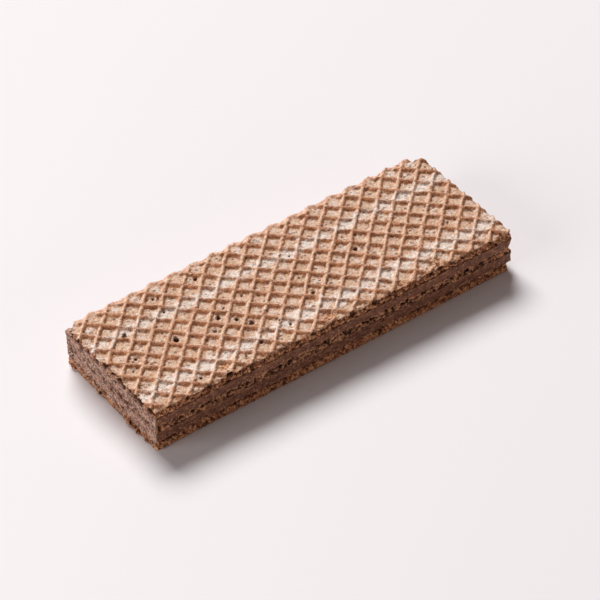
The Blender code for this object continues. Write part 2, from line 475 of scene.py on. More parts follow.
def crustMaterial(name):
    look = crustLook
    make = Finish(name)
    ridge = make.attribute("ridge")
    toastAndShade = make.attribute("toastAndShade")
    flour = make.attribute("flour")
    torn = make.attribute("torn")
    fringe = make.attribute("skin")
    patches = make.grain(look["patchSize"], 3.0)
    mottle = make.grain(look["mottleSize"], 4.0, roughness=0.6)
    grain = make.grain(look["grainSize"], 4.0, roughness=0.65)
    onFloor = 1 - ridge.ease(0.05, 0.4)
    colour = make.blend(patches.ease(0.38, 0.62), look["floorWarm"], look["floor"])
    colour = make.blend(ridge.ease(0.1, 0.8), colour, look["ridge"])
    # painted shade: brown down the near sides of the ridges and on the worn near rim, with real
    # toasting on the crests
    colour = make.blend(toastAndShade, colour, look["toastAndShade"])
    toast = (make.grain(look["toastSize"], 2.0) + ridge * 0.12).ease(0.6, 0.78)
    colour = make.blend(toast * look["toastShare"], colour, look["toasted"])
    # pale crest specks are kept off the painted shade on the ridges' near sides
    crestSpecks = make.dots(*look["crestDots"]) * ridge.ease(0.4, 0.9) * (1 - toastAndShade * 0.7)
    flakes = make.dots(*look["flakeDots"]) * onFloor
    lying = flour * (mottle.ease(0.3, 0.56) * 0.55 + 0.45)
    floury = lying.largest(crestSpecks * 0.55).largest(flakes * 0.45)
    colour = make.blend(floury, colour, look["flour"])
    tornTone = (grain * 0.5 + mottle * 0.5).ease(0.4, 0.6)
    colour = make.blend(torn, colour, make.blend(tornTone, look["torn"], look["tornPale"]))
    pores = make.dots(*look["poreDots"]).largest(make.dots(*look["finePoreDots"]) * 0.45)
    pores = pores * (onFloor * 0.7 + 0.3) * (1 - fringe)
    # painted shade: the small pores are darkened
    colour = make.blend(pores * (1 - flour * 0.6) * 0.6, colour, look["prick"])
    colour = make.blend(fringe * (0.4 + mottle * 0.7), colour, look["fringe"])
    smearColour, smearHeight = smearedCream(make)
    smear = make.attribute("smear")
    colour = make.blend(smear, colour, smearColour)
    # painted shade: pits and holes are darkened
    colour = make.blend(make.attribute("hollow").ease(0.1, 0.65), colour, look["pit"])
    darkest, lightest = look["contrast"]
    fineTone = make.node("ShaderNodeMapRange", None,
                         {"Value": grain * 0.55 + mottle * 0.45, "From Min": 0.35, "From Max": 0.65,
                          "To Min": darkest, "To Max": lightest})
    colour = make.blend(1.0, colour, fineTone, "OVERLAY")
    roughness = 0.62 + patches * 0.25 + onFloor * 0.08
    height = grain * 0.5 + mottle * 0.5 + flakes * 0.4 - pores * 0.9 + smear * smearHeight
    return make.close(colour, roughness, height, look["bump"], look["specular"])


crumbLook = {
    "dark": paint(126, 77, 51),
    "pale": paint(226, 164, 123),
    "skin": paint(218, 158, 119),
    # painted shade inside pinholes and holes of the crumb
    "hole": paint(46, 26, 16),
    "grainSize": 0.5,
    "fineSize": 0.2,
    "pinholeDots": (0.65, 0.38, 0.08),
    "bump": 0.22,
    "specular": 0.3,
}


def crumbMaterial(name):
    look = crumbLook
    make = Finish(name)
    grain = make.grain(look["grainSize"], 4.0, roughness=0.65)
    fine = make.grain(look["fineSize"], 3.0)
    pinholes = make.dots(*look["pinholeDots"], make.stretched(0.7, 0.7, 1.3))
    colour = make.blend(grain.ease(0.4, 0.6), look["dark"], look["pale"])
    colour = make.blend(make.attribute("skin") * 0.75, colour, look["skin"])
    smearColour, smearHeight = smearedCream(make)
    smear = make.attribute("smear")
    colour = make.blend(smear, colour, smearColour)
    # painted shade: pinholes and holes are darkened
    colour = make.blend(pinholes * (1 - smear * 0.9) * 0.8, colour, look["hole"])
    colour = make.blend(make.attribute("hollow").ease(0.1, 0.6), colour, look["hole"])
    height = grain * 0.7 + fine * 0.3 - pinholes * 0.8 + smear * smearHeight
    return make.close(colour, 0.78 + fine * 0.2, height, look["bump"], look["specular"])


creamLook = {
    "body": paint(107, 64, 44),
    "pale": paint(150, 97, 70),
    "fleck": paint(214, 160, 122),
    "speck": paint(78, 46, 33),
    "lip": paint(226, 192, 172),
    # painted shade inside holes of the cream
    "hole": paint(42, 25, 18),
    "softSize": 0.9,
    "fineSize": 0.2,
    "fleckDots": (0.6, 0.26, 0.08),
    "crumbDots": (0.55, 0.4, 0.1),
    "speckDots": (0.7, 0.28, 0.08),
    "bump": 0.16,
    "specular": 0.35,
}


def creamMaterial(name):
    look = creamLook
    make = Finish(name)
    soft = make.grain(look["softSize"], 3.0, make.stretched(0.6, 0.6, 1.0))
    fine = make.grain(look["fineSize"], 3.0)
    crumbs = make.dots(*look["crumbDots"]) * make.attribute("torn") * 0.8
    colour = make.blend((soft * 0.6 + fine * 0.4).ease(0.38, 0.62), look["body"], look["pale"])
    flecks = (make.dots(*look["fleckDots"]) * 0.5).largest(crumbs)
    colour = make.blend(flecks, colour, look["fleck"])
    specks = make.dots(*look["speckDots"], make.stretched(0.6, 0.6, 1.2))
    colour = make.blend(specks * 0.6, colour, look["speck"])
    smearColour, smearHeight = smearedCream(make)
    smear = make.attribute("smear")
    colour = make.blend(smear, colour, smearColour)
    colour = make.blend(make.attribute("skin") * 0.8, colour, look["lip"])
    # painted shade: holes are darkened
    colour = make.blend(make.attribute("hollow").ease(0.2, 0.9), colour, look["hole"])
    height = fine * 0.4 + soft * 0.3 + flecks * 0.6 + smear * smearHeight
    return make.close(colour, 0.56 + fine * 0.16, height, look["bump"], look["specular"])


crust = crustMaterial("wafer crust")
crumb = crumbMaterial("wafer crumb")
cream = creamMaterial("cocoa cream")
print("materials made")

# sides shared by every layer; pores are spacing and radius
sideLook = {
    "rimInset": 0.7,        # how far in the side of a layer ends at its caps
    "lumps": 0.16,          # depth of the uneven places on a broken sheet
    "crumbs": 0.10,
    "mostOut": 0.06,        # how far crumbs stand out at most
    "sheetPores": (0.8, 0.6),
    "sheetPoreDepth": 0.32,
    "creamWaves": 0.05,
    "creamGrain": 0.03,
    "creamPores": (1.3, 0.45),
    "creamPoreDepth": 0.25,
    "creamCrumbs": 0.1,     # how far crumbs stand out along the seams
    # row of open places in the middle sheet, as shares of its height down from its top
    "rowMiddle": 0.42,
    "rowSpread": 0.27,
    "rowPores": (1.3, 1.15),
    "rowDepth": 0.95,
    # row of large pores under the pressed face of the top and bottom sheets
    "underMiddle": 0.24,
    "underSpread": 0.2,
    "underPores": (1.1, 1.3),
    "underDepth": 0.8,
    "cutRoughness": 0.05,   # left end, cut and smeared
    "cutGrain": 0.15,
    "streakSlope": (0.914, 0.407),      # cosine and sine of the slope of the smear
    "endHoleDepth": 1.1,
    "lipReach": 0.22,       # of the pale lip of cream along the near left corner
    # holes of the left end: across the bar, height, half width and half height
    "endHoles": [
        (11.9, 9.0, 0.95, 0.7), (10.2, 8.5, 0.7, 0.5), (7.6, 9.0, 0.55, 0.45),
        (4.7, 9.0, 0.7, 0.55), (1.9, 9.1, 0.7, 0.5), (-0.6, 9.0, 0.5, 0.4),
        (-3.6, 9.1, 0.95, 0.65), (-4.9, 8.7, 0.6, 0.45), (-7.0, 9.0, 0.5, 0.4),
        (-9.2, 9.0, 0.95, 0.62), (-10.8, 9.0, 0.65, 0.5), (-14.0, 9.1, 0.75, 0.55),
        (-15.2, 9.0, 0.5, 0.4), (14.3, 4.6, 0.4, 0.3), (12.8, 4.8, 0.5, 0.32),
        (1.6, 5.0, 0.5, 0.34), (2.5, 5.2, 0.4, 0.3), (-0.3, 4.6, 0.38, 0.28),
        (-3.4, 4.9, 0.6, 0.42), (-5.1, 4.8, 0.65, 0.42), (-8.0, 4.8, 0.4, 0.25),
        (-10.2, 5.2, 0.45, 0.3), (-11.6, 5.1, 0.4, 0.25), (-12.9, 5.3, 0.55, 0.35),
        (11.4, 1.3, 0.5, 0.36), (8.6, 1.4, 0.5, 0.36), (6.2, 1.1, 0.6, 0.36),
        (2.8, 1.1, 0.6, 0.36), (-2.0, 1.1, 0.45, 0.3), (-8.6, 1.0, 0.4, 0.34),
        (-12.0, 1.2, 0.45, 0.3),
    ],
    "smallHoles": 90,
    "smallHoleRadius": (0.12, 0.28),
    "seed": 5,
    # open places of the middle sheet on the near side: along the bar, height, half width
    # and half height
    "rowHoles": [
        (-43.7, 5.5, 0.4, 0.3), (-40.1, 5.5, 0.5, 0.3), (-38.5, 5.5, 0.4, 0.3),
        (-35.7, 5.4, 0.6, 0.35), (-33.5, 5.5, 0.4, 0.3), (-32.1, 5.5, 0.7, 0.35),
        (-27.1, 5.5, 0.4, 0.3), (-26.0, 5.4, 0.4, 0.3), (-24.7, 5.5, 0.4, 0.3),
        (-23.5, 5.5, 0.4, 0.3), (-22.5, 5.4, 0.4, 0.3), (-16.7, 5.5, 0.4, 0.3),
        (-15.5, 5.5, 0.4, 0.3), (-14.4, 5.4, 0.7, 0.42), (-12.2, 5.6, 0.4, 0.2),
        (-11.0, 5.7, 0.5, 0.25), (-4.7, 5.6, 0.7, 0.34), (-3.3, 5.6, 0.6, 0.3),
        (-2.4, 5.8, 0.35, 0.25), (-0.4, 5.5, 0.4, 0.2), (0.6, 5.6, 0.3, 0.2), (3.6, 5.3, 0.3, 0.2),
        (5.2, 5.0, 0.35, 0.25), (6.6, 5.4, 0.6, 0.38), (8.7, 5.4, 0.75, 0.45),
        (10.2, 5.4, 0.35, 0.2), (12.2, 5.6, 0.4, 0.4), (13.6, 5.6, 0.3, 0.3),
        (16.2, 5.4, 0.7, 0.48), (17.4, 5.4, 0.5, 0.4), (18.3, 4.9, 0.3, 0.3),
        (21.6, 5.4, 0.5, 0.3), (23.8, 5.5, 0.5, 0.3), (29.0, 5.5, 0.5, 0.3),
        (32.8, 5.4, 0.8, 0.48), (36.4, 5.5, 0.5, 0.3), (38.8, 5.5, 0.5, 0.3),
        (41.2, 5.5, 0.4, 0.3),
    ],
    # open places under the near rim of the top sheet: along the bar, and half width
    "rimHoles": [
        (-43.4, 0.5), (-36.6, 0.55), (-31.2, 0.9), (-28.2, 0.5), (-26.4, 0.5), (-21.2, 0.55),
        (-13.0, 0.7), (-9.9, 0.6), (-6.1, 0.6), (-3.7, 0.5), (-1.1, 0.55), (0.7, 0.45), (3.7, 0.9),
        (9.4, 0.75), (12.9, 0.6), (14.7, 0.5), (18.3, 0.55), (21.3, 0.5), (23.9, 0.55),
        (26.3, 0.5), (29.3, 0.55), (32.3, 0.8), (34.9, 0.5), (39.3, 0.55), (41.3, 0.5),
    ],
    "rimHoleHeight": 9.4,
}


def allEndHoles():
    look = sideLook
    rng = random.Random(look["seed"])
    holes = list(look["endHoles"])
    for _ in range(look["smallHoles"]):
        across = rng.uniform(-halfWidth, halfWidth)
        radius = rng.uniform(*look["smallHoleRadius"])
        holes.append((across, rng.uniform(0.5, barTop - 1.2), radius, 0.8 * radius))
    return holes


endHoles = allEndHoles()
rimHoles = [(middle, 0.0, reach, 0.75 * reach) for middle, reach in sideLook["rimHoles"]]


def listedHole(holes, along, up):
    # how deep a point of a side lies in one of the holes, from 0 to 1
    depth = 0.0
    for middle, height, reach, rise in holes:
        if abs(along - middle) < 2 * reach and abs(up - height) < 2 * rise:
            wobble = 1 + 0.5 * rough(along, up, 0, 0.45, middle)
            distance = math.hypot((along - middle) / reach, (up - height) / rise) / wobble
            depth = max(depth, min(1.0, 0.4 + 1.4 * reach) * ease(1.25, 0.65, distance))
    return depth


def facingLeft(normal):
    return ease(0.5, 0.9, -normal.x)


def endSmear(y, z):
    # cream dragged over the left end when the bar was cut
    height = z + 1.5 * (0.8 * rough(3, y, z, 0.9, 6.6))
    return (0.1 + 0.9 * ease(9.4, 8.4, height)) * (0.15 + 0.8 * ease(0.5, 1.7, height))


def cutFace(y, z):
    cosine, sine = sideLook["streakSlope"]
    down, along = cosine * z - sine * y, cosine * y + sine * z
    streak = rough(0, along * 0.3, down, 0.45, 5.0)
    inset = sideLook["cutRoughness"] * (2 + rough(0, y, z, 1.6, 3.0) + 1.5 * streak)
    return inset + sideLook["cutGrain"] * (0.7 + rough(0, y, z, 0.42, 9.0))


def placeSide(vertex, layers, plan, normal, z, inset, setBack=None, **marks):
    back = rightEndInset(z) if setBack is None else setBack
    x = plan.x - back * rightShare(plan.x) - normal.x * inset
    vertex.co = (x, plan.y - normal.y * inset, z)
    mark(vertex, layers, **marks)


def withCutEnd(plan, normal, z, inset, marks):
    # blends a side into the cut left end
    lip = 0.0
    if normal.y < -0.3:
        lip = math.exp(-((plan.x + halfLength - 0.1) / sideLook["lipReach"]) ** 2)
    marks["skin"] = max(marks.get("skin", 0.0), lip * ease(1.2, 2.2, z))
    facing = facingLeft(normal)
    if facing <= 0:
        return inset, marks
    hole = listedHole(endHoles, plan.y, z)
    marks["hollow"] = max(marks.get("hollow", 0.0) * (1 - 0.95 * facing), hole * facing)
    marks["smear"] = facing * endSmear(plan.y, z) * (1 - 0.8 * hole)
    cut = cutFace(plan.y, z) + sideLook["endHoleDepth"] * hole
    return inset * (1 - 0.7 * facing) + cut * facing, marks


def creamSide(plan, normal, z, share):
    look = sideLook
    x, y = plan
    inset = look["creamWaves"] * (1 + 1.5 * rough(x, y, z, 1.3, 3.0))
    inset += look["creamGrain"] * (1 + rough(x, y, 2 * z, 0.35, 8.0))
    hole = pore(x, y, z, *look["creamPores"], 2.0)
    nearSeam = max(ease(0.3, 0.05, share), ease(0.7, 0.95, share))
    crumbs = nearSeam * ease(-0.2, 0.2, rough(x, y, z, 1.2, 7.0))
    inset = inset + look["creamPoreDepth"] * hole - look["creamCrumbs"] * crumbs
    return withCutEnd(plan, normal, z, inset, dict(hollow=0.6 * hole, torn=crumbs))


def brokenSheet(x, y, z):
    # uneven broken edge of a sheet, and its small pores
    look = sideLook
    inset = look["lumps"] * (0.7 + 1.8 * rough(x, y, z, 1.0, 3.0))
    inset += look["crumbs"] * (0.8 + 1.8 * rough(x, y, z, 0.45, 5.0))
    small = pore(x, y, z, *look["sheetPores"], 9.0)
    return max(-look["mostOut"], inset) + look["sheetPoreDepth"] * small, small


def middleSide(plan, normal, z, share):
    look = sideLook
    x, y = plan
    inset, small = brokenSheet(x, y, z)
    if normal.y < -0.7:
        row = listedHole(look["rowHoles"], x, z)
    else:
        fromRow = share - look["rowMiddle"] + 0.25 * rough(x, y, 0, 2.5, 6.0)
        inRow = math.exp(-(fromRow / look["rowSpread"]) ** 2)
        row = 0.8 * pore(x * 0.75, y * 0.75, z * 1.1, *look["rowPores"], 1.0) * inRow
    skin = max(ease(0.18, 0.06, share), ease(0.82, 0.94, share))
    inset = inset - 0.05 * skin + look["rowDepth"] * row
    return withCutEnd(plan, normal, z, inset, dict(hollow=max(row, 0.6 * small), skin=skin))


def crustSide(plan, normal, z, share):
    # share runs from the pressed face at 0 to the cream at 1
    look = sideLook
    x, y = plan
    inset, small = brokenSheet(x, y, z)
    under = math.exp(-((share - look["underMiddle"]) / look["underSpread"]) ** 2)
    large = pore(x * 0.7, y * 0.7, z * 1.1, *look["underPores"], 4.0) * under
    fringe = 0.0
    if z > creamUpperTop:
        # crumbs hang over the far rim of the top sheet
        fringe = ease(0.5, 0.1, share) * ease(0.3, 0.7, normal.y)
        if normal.y < -0.7:
            large = max(0.6 * large, listedHole(rimHoles, x, z - look["rimHoleHeight"]))
    marks = dict(hollow=max(large, 0.6 * small) * (1 - fringe), torn=1.0, skin=fringe)
    return withCutEnd(plan, normal, z, inset + look["underDepth"] * large, marks)


def addSides(bm, layers, ring, plans, normals, upper, lower, rows, side, setBack=None, feet=None):
    # carries the rim along the side of a layer; upper and lower give the seam heights at a place,
    # and feet are the places in plan that a worn rim comes out to below
    feet = feet or plans
    for row in range(1, rows + 1):
        share = row / rows
        ring = nextRing(bm, ring)
        for vertex, plan, foot, normal in zip(ring, plans, feet, normals):
            top, bottom = upper(plan), lower(foot)
            z = top + (bottom - top) * share
            place = plan.lerp(foot, ease(0.0, 0.65, share) ** 0.8)
            inset, marks = side(place, normal, z, share)
            placeSide(vertex, layers, place, normal, z, inset, setBack, **marks)
    return ring


def closeLayer(bm, layers, ring, plans, normals, level, setBack=None):
    # a lip that runs in to one level, and a flat face across it
    ring = nextRing(bm, ring)
    for vertex, plan, normal in zip(ring, plans, normals):
        placeSide(vertex, layers, plan, normal, level, sideLook["rimInset"], setBack)
    capRing(bm, ring)


def layerOutline(step):
    # rounded rectangle as one face, its rim cut to even lengths
    bm = bmesh.new()
    bmesh.ops.create_grid(bm, x_segments=1, y_segments=1, size=1.0,
                          matrix=Matrix.Diagonal((halfLength, halfWidth, 1.0, 1.0)))
    nearRight = max(bm.verts, key=lambda vertex: vertex.co.x - vertex.co.y)
    others = [vertex for vertex in bm.verts if vertex is not nearRight]
    for corners, radius, segments in (([nearRight], outline["nearRightRadius"], 8),
                                      (others, outline["cornerRadius"], 4)):
        bmesh.ops.bevel(bm, geom=corners, offset=radius, offset_type="OFFSET", affect="VERTICES",
                        segments=segments, profile=0.5, material=-1)
    for edge in bm.edges[:]:
        cuts = round(edge.calc_length() / step) - 1
        if cuts > 0:
            bmesh.ops.subdivide_edges(bm, edges=[edge], cuts=cuts)
    return bm


def layerPiece(name, node, material, level, side, step, rows):
    # a layer of cream or the middle sheet
    lowerLevel, upperLevel = level
    bm = layerOutline(step)
    layers = newLayers(bm)
    ring = boundaryRing(bm)
    plans = [vertex.co.xy.copy() for vertex in ring]
    normals = ringNormals(ring, 3)
    for vertex, plan, normal in zip(ring, plans, normals):
        placeSide(vertex, layers, plan, normal, upperLevel, sideLook["rimInset"])

    def upper(plan):
        return seamHeight(upperLevel, plan.x, plan.y)

    def lower(plan):
        return seamHeight(lowerLevel, plan.x, plan.y)

    ring = nextRing(bm, ring)
    for vertex, plan, normal in zip(ring, plans, normals):
        z = upper(plan)
        inset, marks = side(plan, normal, z, 0.0)
        placeSide(vertex, layers, plan, normal, z, inset, **marks)
    ring = addSides(bm, layers, ring, plans, normals, upper, lower, rows, side)
    closeLayer(bm, layers, ring, plans, normals, lowerLevel)
    finishPiece(bm, name, material, (node,))


layerPiece("lowerCream", "cream_lower", cream,
           (sheetBottomTop, creamLowerTop), creamSide, 0.15, 14)
layerPiece("middleWafer", "wafer_middle", crumb,
           (creamLowerTop, sheetMiddleTop), middleSide, 0.12, 15)
layerPiece("upperCream", "cream_upper", cream,
           (sheetMiddleTop, creamUpperTop), creamSide, 0.15, 13)

topLook = {
    "step": 0.215,
    "rows": 13,
    "crossing": (-1.28, -0.80),         # a place where two ridges cross
    "faceWaves": [(0.07, 0.9, 6.0), (0.05, 0.45, 3.0)],
    "edgeDrop": 0.06,
    "edgeReach": 0.4,
    "nearReach": (1.35, 0.8),           # where the worn near rim starts and is full
    "nearFlattens": 0.25,               # share of a ridge's height lost there
    "nearRoughness": 0.25,
    "shoulder": 0.04,                   # how far the face falls towards the near side
    "rimHoleDepth": 0.5,
    "farReach": (0.9, 0.3),             # where the crumbs along the far rim start to rise
    "farLift": 0.12,
    "farRoughness": 0.15,
    "crumbReach": (1.5, 0.7),           # where those crumbs start to cover the ridges
    "crumbFlattens": 0.55,
    "tearFlattens": 0.7,
    "tearDepth": 0.12,
    "tearRoughness": 0.2,
    "lipHeight": 0.25,                  # swollen rim of a pit, as a share of its depth
    "lipPlace": 1.4,                    # and in radii of the pit
    "lipWidth": 0.3,
    # x, y, radius and depth of the larger pits, and how far they are drawn out along a diagonal
    "pits": [
        (-36.6, 6.6, 0.57, 0.47, 1.7), (-29.0, -0.7, 0.69, 0.64, 1.1),
        (-21.4, -3.2, 0.64, 0.30, 1.0), (-14.1, -5.8, 0.69, 0.51, 1.0),
        (-18.6, -0.5, 0.55, 0.51, 1.2), (-26.3, 7.7, 0.41, 0.34, 1.2),
        (-15.7, 12.0, 0.55, 0.42, 1.3), (-38.6, -0.5, 0.46, 0.38, 1.3),
        (-15.9, -11.7, 0.46, 0.51, 1.0), (-24.2, -4.8, 0.32, 0.34, 1.0),
        (-26.0, 12.2, 0.39, 0.38, 1.0), (-25.0, 11.7, 0.29, 0.30, 1.0),
        (-27.1, 12.6, 0.28, 0.30, 1.0), (-31.4, -12.8, 0.37, 0.34, 1.0),
        (-20.6, -13.0, 0.35, 0.34, 1.0), (-11.0, 2.2, 0.37, 0.30, 1.2),
        (-16.1, 1.4, 0.37, 0.34, 1.0), (-15.9, -3.1, 0.55, 0.51, 1.0),
        (-8.1, -10.7, 0.39, 0.34, 1.5), (-41.4, -0.5, 0.35, 0.30, 1.0),
        (-41.0, -3.1, 0.37, 0.30, 1.2), (15.9, -0.3, 0.55, 0.59, 1.2),
        (1.4, -0.5, 0.39, 0.34, 1.0), (3.8, 6.2, 0.37, 0.34, 1.0), (-9.5, -8.8, 0.39, 0.30, 1.3),
        (21.4, -8.0, 0.39, 0.30, 1.2), (36.1, -5.3, 0.39, 0.30, 1.2), (1.2, -5.8, 0.51, 0.42, 1.6),
        (13.5, 2.4, 0.28, 0.26, 1.0), (25.7, 8.2, 0.31, 0.30, 1.0),
    ],
    # x, y and radius of places where the skin is torn off
    "tears": [(-26.0, -12.7, 1.5), (-0.65, -13.5, 1.9), (26.4, -13.9, 1.9), (17.0, -14.8, 1.2)],
    # floury bands along the bar: their middle across it and half their width
    "bands": [(7.1, 1.9), (-10.4, 2.4)],
    "bandSway": 0.8,
    "flourSeed": 8.5,
}

bottomLook = {
    "step": 0.235,
    "rows": 13,
    "crossing": (0.0, 0.0),
    "edgeDrop": 0.06,
    "edgeReach": 0.4,
    "edgeFill": 0.7,        # how much of the cells is filled up by crumbs along the edges
    "edgeInsets": [0.06, 0.06, -0.1, 0.02],     # left, right, near and far
    "edgeRoughness": 0.08,
    "faceRoughness": 0.03,
    "nearFoot": 0.22,       # how far crumbs stand out at the foot of the near side
}


# how far each edge of the top sheet stands back: worn is 1 at the rim and 0 below it
def farInset(x, worn=1.0):
    chip = stepped(outline["chipRight"], halfLength - x)
    fromPeak = 2 * math.pi * (x - outline["scallopPeak"]) / outline["scallopPitch"]
    edge = outline["scallopDepth"] * (0.5 - 0.5 * math.cos(fromPeak)) - outline["scallopLift"]
    edge = addWaves(edge, x, 0, 0, outline["farWaves"])
    return chip + worn * edge + (1 - worn) * outline["farFoot"]


def nearInset(x, worn=1.0):
    bite = 0.0
    for centre, width, depth in outline["bites"]:
        bite = max(bite, depth * ease(width * 0.5, width * 0.2, abs(x - centre)))
    edge = addWaves(outline["nearWear"], x, 9, 0, outline["nearWaves"])
    below = outline["biteBelow"]
    return below * bite + worn * ((1 - below) * bite + edge) + (1 - worn) * outline["nearFoot"]


def leftInset(y, worn=1.0):
    chip = stepped(outline["chipLeft"], halfWidth - y)
    edge = stepped(outline["leftEdge"], y)
    edge += 0.3 * rough(0, y, 0, 1.4)
    edge += 0.2 * rough(3, y, 0, 0.55, 2.5)
    return chip + worn * max(0.0, edge)


def rightInset(y, worn=1.0):
    return worn * addWaves(outline["rightWear"], 5, y, 0, outline["rightWaves"])


def warped(x, y, insets):
    # a point of the plain rectangle, carried to the outline given by four insets
    for signX, signY in ((1, -1), (-1, -1), (1, 1), (-1, 1)):
        radius = outline["nearRightRadius" if signX > 0 > signY else "cornerRadius"]
        a = (signX * x - (halfLength - radius)) / radius
        b = (signY * y - (halfWidth - radius)) / radius
        if a > 0 and b > 0:
            x = signX * (halfLength - radius + radius * a * math.sqrt(1 - b * b / 2))
            y = signY * (halfWidth - radius + radius * b * math.sqrt(1 - a * a / 2))
            break
    left, right, near, far = insets
    reach = outline["warpReach"]
    fromLeft = max(0.0, 1 - (x + halfLength) / reach) ** 2
    fromRight = max(0.0, 1 - (halfLength - x) / reach) ** 2
    fromNear = max(0.0, 1 - (y + halfWidth) / reach) ** 2
    fromFar = max(0.0, 1 - (halfWidth - y) / reach) ** 2
    newX = x + left(y) * fromLeft - right(y) * fromRight
    newY = y + near(x) * fromNear - far(x) * fromFar
    return newX, newY


def pitDepth(x, y):
    # negative on the swollen rim of a pit
    look = topLook
    depth = lip = 0.0
    for pitX, pitY, radius, deep, drawn in look["pits"]:
        if abs(x - pitX) < 2.2 and abs(y - pitY) < 2.2:
            along = ((x - pitX) + (y - pitY)) / math.sqrt(2) / drawn
            across = ((x - pitX) - (y - pitY)) / math.sqrt(2)
            wobble = 1 + 0.35 * rough(x, y, 0, 0.6, pitX)
            distance = math.hypot(along, across) / radius / wobble
            depth = max(depth, deep * ease(1.15, 0.35, distance))
            onLip = math.exp(-((distance - look["lipPlace"]) / look["lipWidth"]) ** 2)
            lip = max(lip, look["lipHeight"] * deep * onLip)
    return depth - lip


def tearShare(x, y):
    share = 0.0
    for tearX, tearY, radius in topLook["tears"]:
        if abs(x - tearX) < 2 * radius and abs(y - tearY) < 2 * radius:
            distance = math.hypot(x - tearX, (y - tearY) * 1.3) / radius
            share = max(share, ease(1.1, 0.6, distance + 0.4 * rough(x, y, 0, 0.8, 1.0)))
    return share


def sheetGrid(step, insets):
    # flat grid over the bar's plan, warped to an outline; also where each vertex was before
    bm = bmesh.new()
    layers = newLayers(bm)
    bmesh.ops.create_grid(bm, x_segments=round(2 * halfLength / step),
                          y_segments=round(2 * halfWidth / step), size=1.0,
                          matrix=Matrix.Diagonal((halfLength, halfWidth, 1.0, 1.0)))
    bmesh.ops.subdivide_edges(bm, edges=[edge for edge in bm.edges if edge.is_boundary], cuts=1)
    origins = {vertex: tuple(vertex.co.xy) for vertex in bm.verts}
    for vertex, (x, y) in origins.items():
        vertex.co.x, vertex.co.y = warped(x, y, insets)
    return bm, layers, origins


def edgeDistance(origin):
    return min(halfLength - abs(origin[0]), halfWidth - abs(origin[1]))


def flourShare(x, y, ridge, toastShadeShare):
    # flour lies on the floors of some cells in two bands, and in patches on the ridges there;
    # on the ridges it thins where their near sides carry painted shade, which leaves the lit sides
    # paler
    look = topLook
    swayed = y + look["bandSway"] * rough(x, 0, 0, 14.0, 3.0)
    band = max(math.exp(-((swayed - middle) / reach) ** 2) for middle, reach in look["bands"])
    across, along = latticePlace(x, y, look["crossing"], 0.0)
    pitch = lattice["cellDiagonal"] / math.sqrt(2)
    cell = Vector((math.floor(across / pitch) + 0.5, math.floor(along / pitch) + 0.5,
                   look["flourSeed"]))
    chance = abs(noise.cell(cell))
    fromMiddle = math.hypot((across / pitch) % 1.0 - 0.5, (along / pitch) % 1.0 - 0.5)
    ragged = rough(x, y, 0, 0.9, 4.0)
    lying = band * (0.62 + 0.6 * chance) + 0.5 * ragged
    onFloor = ease(0.4, 0.75, lying) * ease(0.35, 0.1, ridge)
    onRidge = ease(0.35, 0.7, band * 0.8 + 0.7 * rough(x, y, 0, 1.5, 5.0))
    onRidge *= ease(0.3, 0.8, ridge)
    # less flour on the painted shade of the ridges' near sides
    onRidge *= 1 - 0.6 * toastShadeShare
    middles = ease(0.3, 0.12, fromMiddle + 0.15 * ragged)
    middles *= ease(0.35, 0.75, abs(noise.cell(cell * 3.1)))
    middles *= 0.4 + 0.4 * ease(10.0, 13.0, y)
    farEdge = 0.35 * ease(1.4, 0.4, halfWidth - y + 0.8 * rough(x, y, 0, 0.7, 2.0))
    return max(onFloor, 0.9 * onRidge, middles, farEdge)


def topSurface(x, y, margin):
    # height of the pressed face at a place, and its marks
    look = topLook
    height, ridge, toastShadeShare = latticeRelief(x, y, look["crossing"])
    edge = ease(look["edgeReach"], 0.0, margin)
    pit = pitDepth(x, y)
    tear = tearShare(x, y)
    over = max(0.0, x - (halfLength - ends["topFallLength"])) / ends["topFallLength"]
    fromNear = y + halfWidth + 0.5 * rough(x, y, 0, 1.0, 2.0)
    nearEdge = ease(*look["nearReach"], fromNear)
    fromFar = halfWidth - y + 0.4 * rough(x, y, 0, 0.8, 5.0)
    farEdge = ease(*look["farReach"], fromFar)
    crumbled = ease(*look["crumbReach"], fromFar)
    hole = 0.6 * listedHole(rimHoles, x, y + halfWidth - 0.25) if fromNear < 2.0 else 0.0
    height *= 1 - look["tearFlattens"] * tear
    height *= 1 - look["nearFlattens"] * nearEdge
    height *= 1 - look["crumbFlattens"] * crumbled
    z = barTop - lattice["relief"] + height
    z += addWaves(0.0, x, y, 0, look["faceWaves"])
    inTear = tear * (look["tearRoughness"] * rough(x, y, 0, 0.7, 8.0) - look["tearDepth"])
    onFar = farEdge * (look["farLift"] + look["farRoughness"] * rough(x, y, 0, 0.6, 9.0))
    z += inTear + onFar
    z -= pit + look["edgeDrop"] * edge * edge + ends["topFall"] * over * over
    onNear = nearEdge * look["nearRoughness"] * rough(x, y, 0, 0.7, 1.0)
    onNear += look["shoulder"] * ease(1.5, 0.4, fromNear) ** 2
    z -= onNear + look["rimHoleDepth"] * hole
    whole = (1 - tear) * (1 - nearEdge)
    # the brown of the ridges carries painted shade on their near sides; the worn near rim is
    # darkened with the same brown
    marks = dict(ridge=ridge * (1 - tear) * (1 - crumbled),
                 toastAndShade=toastShadeShare * whole * (1 - crumbled) + 0.52 * nearEdge,
                 flour=flourShare(x, y, ridge, toastShadeShare) * whole,
                 hollow=max(ease(0.04, 0.42, pit), hole),
                 torn=max(0.75 * tear, 0.3 * nearEdge, 0.3 * edge), skin=0.9 * crumbled)
    return min(barTop, z), marks


